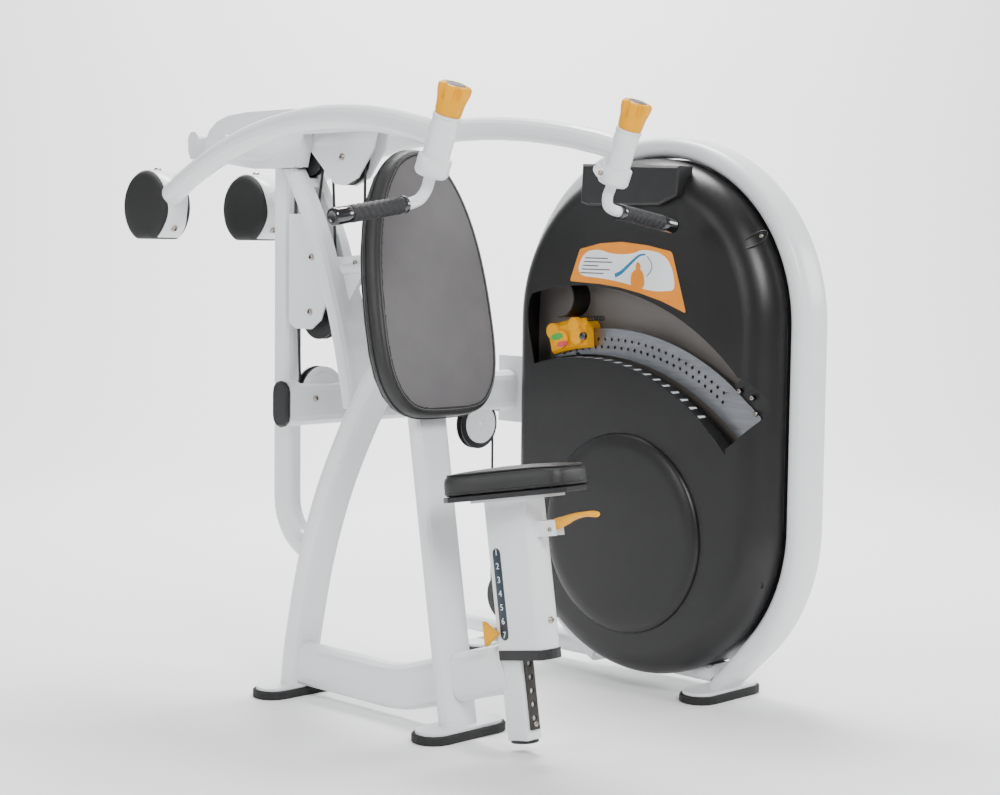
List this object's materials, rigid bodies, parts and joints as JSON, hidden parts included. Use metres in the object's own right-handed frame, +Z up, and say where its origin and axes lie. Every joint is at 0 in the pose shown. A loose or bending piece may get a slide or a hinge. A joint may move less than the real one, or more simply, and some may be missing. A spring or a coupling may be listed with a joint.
{
  "type": "shoulder press machine",
  "caption": "Seated shoulder press machine: pivoting press arms with swivel grips, sliding seat, padded backrest and an oval weight tower with an arc selector.",
  "frame": {"origin": "on the floor, in the middle of the front foot pad's underside", "axes": "+Z up, +Y towards the machine's rear, +X towards the weight tower; the user sits facing -Y"},
  "size_m": [1.4117, 1.499, 1.4578],
  "materials": {
    "white_paint": "satin powder coat",
    "black_rubber": "matt",
    "black_plastic": "fine grain",
    "smoked_plastic": "semi-gloss",
    "grey_liner": "matt",
    "yellow_plastic": "semi-gloss",
    "black_vinyl": "grained upholstery vinyl",
    "steel": "bare",
    "cable": "coated wire rope"
  },
  "bodies": {
    "machine_frame": {"front_foot_pad": "black_rubber", "rear_foot_pad": "black_rubber", "tower_front_foot_pad": "black_rubber", "tower_rear_foot_pad": "black_rubber", "front_column": "white_paint", "rear_leg": "white_paint", "upper_column": "white_paint", "rear_upright": "white_paint", "base_rail": "white_paint", "seat_post_stub": "white_paint", "seat_post": "white_paint", "seat_rack": "steel", "lateral_beam": "white_paint", "beam_end_cap": "black_plastic", "tower_flange": "white_paint", "pivot_head": "white_paint", "pivot_shaft": "steel", "pulley_bracket": "white_paint", "backrest_pad": "black_vinyl", "backrest_board": "black_plastic", "backrest_strut": "white_paint", "tower_hoop": "white_paint", "tower_base_rail": "white_paint", "inner_shroud": "smoked_plastic", "outer_shroud": "smoked_plastic", "tower_liner": "grey_liner", "badge_housing": "black_plastic", "selector_rail": "steel", "rail_end_plate": "black_plastic", "scale_ledge": "black_plastic", "height_pointer": "yellow_plastic", "cable_main": "cable", "cable_front_strand": "cable", "cable_rear_strand": "cable", "cable_selector_strand": "cable"},
    "press_arms": {"left_arm": "white_paint", "right_arm": "white_paint", "arm_yoke": "white_paint", "pulley_housing": "white_paint", "left_counterweight": "black_rubber", "right_counterweight": "black_rubber", "cable_arm_loop": "cable"},
    "left_knob_body": {"left_knob": "yellow_plastic"},
    "right_knob_body": {"right_knob": "yellow_plastic"},
    "left_handle_body": {"left_handle": "white_paint"},
    "right_handle_body": {"right_handle": "white_paint"},
    "arm_pulley_body": {"arm_pulley": "black_plastic"},
    "top_pulley_body": {"top_pulley": "black_plastic"},
    "mid_pulley_body": {"mid_pulley": "black_plastic"},
    "beam_pulley_body": {"beam_pulley": "black_plastic"},
    "drop_pulley_body": {"drop_pulley": "black_plastic"},
    "low_pulley_body": {"low_pulley": "black_plastic"},
    "guide_pulley_body": {"guide_pulley": "black_plastic"},
    "selector": {"selector_carriage": "yellow_plastic"},
    "pendulum": {"weight_pendulum": "steel"},
    "seat": {"seat_carriage": "white_paint", "carriage_trim": "black_plastic", "seat_board": "black_plastic", "seat_pad": "black_vinyl"},
    "lever": {"seat_lever": "yellow_plastic"}
  },
  "joints": [
    {"name": "press_arm_pivot", "type": "hinge", "parent": "machine_frame", "child": "press_arms", "pos_m": [0, 0.64, 1.352], "axis": [-1, 0, 0], "range_deg": [0, 33], "deforming": ["cable_front_strand", "cable_rear_strand"]},
    {"name": "selector_arc", "type": "hinge", "parent": "machine_frame", "child": "selector", "pos_m": [0.672, 0.15, 0.235], "axis": [1, 0, 0], "range_deg": [0, 38], "deforming": ["cable_selector_strand"]},
    {"name": "pendulum_swing", "type": "hinge", "parent": "machine_frame", "child": "pendulum", "pos_m": [0.643, 0.06, 0.4], "axis": [1, 0, 0], "range_deg": [0, 60]},
    {"name": "seat_slide", "type": "slide", "parent": "machine_frame", "child": "seat", "axis": [0, 0.1616, 0.9869], "range_m": [-0.18, 0]},
    {"name": "seat_lever_pivot", "type": "hinge", "parent": "seat", "child": "lever", "pos_m": [0, -0.2976, 0.51822], "axis": [-1, 0, 0], "range_deg": [0, 12], "stiffness_Nm_per_rad": 0.5, "springref_deg": -11.46},
    {"name": "left_handle_swivel", "type": "hinge", "parent": "press_arms", "child": "left_handle_body", "pos_m": [0.282, -0.20627, 1.30464], "axis": [0, -0.3746, 0.9272], "range_deg": [-90, 0]},
    {"name": "left_knob_lift", "type": "slide", "parent": "press_arms", "child": "left_knob_body", "axis": [0, -0.3746, 0.9272], "range_m": [0, 0.012], "stiffness_N_per_m": 400, "springref_m": -0.01},
    {"name": "right_handle_swivel", "type": "hinge", "parent": "press_arms", "child": "right_handle_body", "pos_m": [-0.282, -0.20627, 1.30464], "axis": [0, -0.3746, 0.9272], "range_deg": [0, 90]},
    {"name": "right_knob_lift", "type": "slide", "parent": "press_arms", "child": "right_knob_body", "axis": [0, -0.3746, 0.9272], "range_m": [0, 0.012], "stiffness_N_per_m": 400, "springref_m": -0.01},
    {"name": "arm_pulley_spin", "type": "hinge", "parent": "press_arms", "child": "arm_pulley_body", "pos_m": [0, 0.402, 1.33], "axis": [1, 0, 0], "range_deg": [-10, 170]},
    {"name": "top_pulley_spin", "type": "hinge", "parent": "machine_frame", "child": "top_pulley_body", "pos_m": [0, 0.55, 1.352], "axis": [1, 0, 0], "range_deg": [-10, 270]},
    {"name": "mid_pulley_spin", "type": "hinge", "parent": "machine_frame", "child": "mid_pulley_body", "pos_m": [0, 0.502, 0.957], "axis": [1, 0, 0], "range_deg": [-270, 10]},
    {"name": "beam_pulley_spin", "type": "hinge", "parent": "machine_frame", "child": "beam_pulley_body", "pos_m": [0.05, 0.57, 0.752], "axis": [0, 1, 0], "range_deg": [-10, 270]},
    {"name": "drop_pulley_spin", "type": "hinge", "parent": "machine_frame", "child": "drop_pulley_body", "pos_m": [0.602, 0.57, 0.643], "axis": [0, 1, 0], "range_deg": [-270, 10]},
    {"name": "low_pulley_spin", "type": "hinge", "parent": "machine_frame", "child": "low_pulley_body", "pos_m": [0.668, 0.512, 0.17], "axis": [1, 0, 0], "range_deg": [-10, 270]},
    {"name": "guide_pulley_spin", "type": "hinge", "parent": "machine_frame", "child": "guide_pulley_body", "pos_m": [0.668, 0.15, 0.235], "axis": [1, 0, 0], "range_deg": [-10, 270]}
  ],
  "couplings": [
    {"joint": "arm_pulley_spin", "follows": "press_arm_pivot", "ratio": 4.85},
    {"joint": "top_pulley_spin", "follows": "press_arm_pivot", "ratio": 7.7},
    {"joint": "mid_pulley_spin", "follows": "press_arm_pivot", "ratio": -7.7},
    {"joint": "beam_pulley_spin", "follows": "press_arm_pivot", "ratio": 7.7},
    {"joint": "drop_pulley_spin", "follows": "press_arm_pivot", "ratio": -7.7},
    {"joint": "low_pulley_spin", "follows": "press_arm_pivot", "ratio": 7.7},
    {"joint": "guide_pulley_spin", "follows": "press_arm_pivot", "ratio": 7.7},
    {"joint": "pendulum_swing", "follows": "press_arm_pivot", "ratio": 1.75}
  ]
}
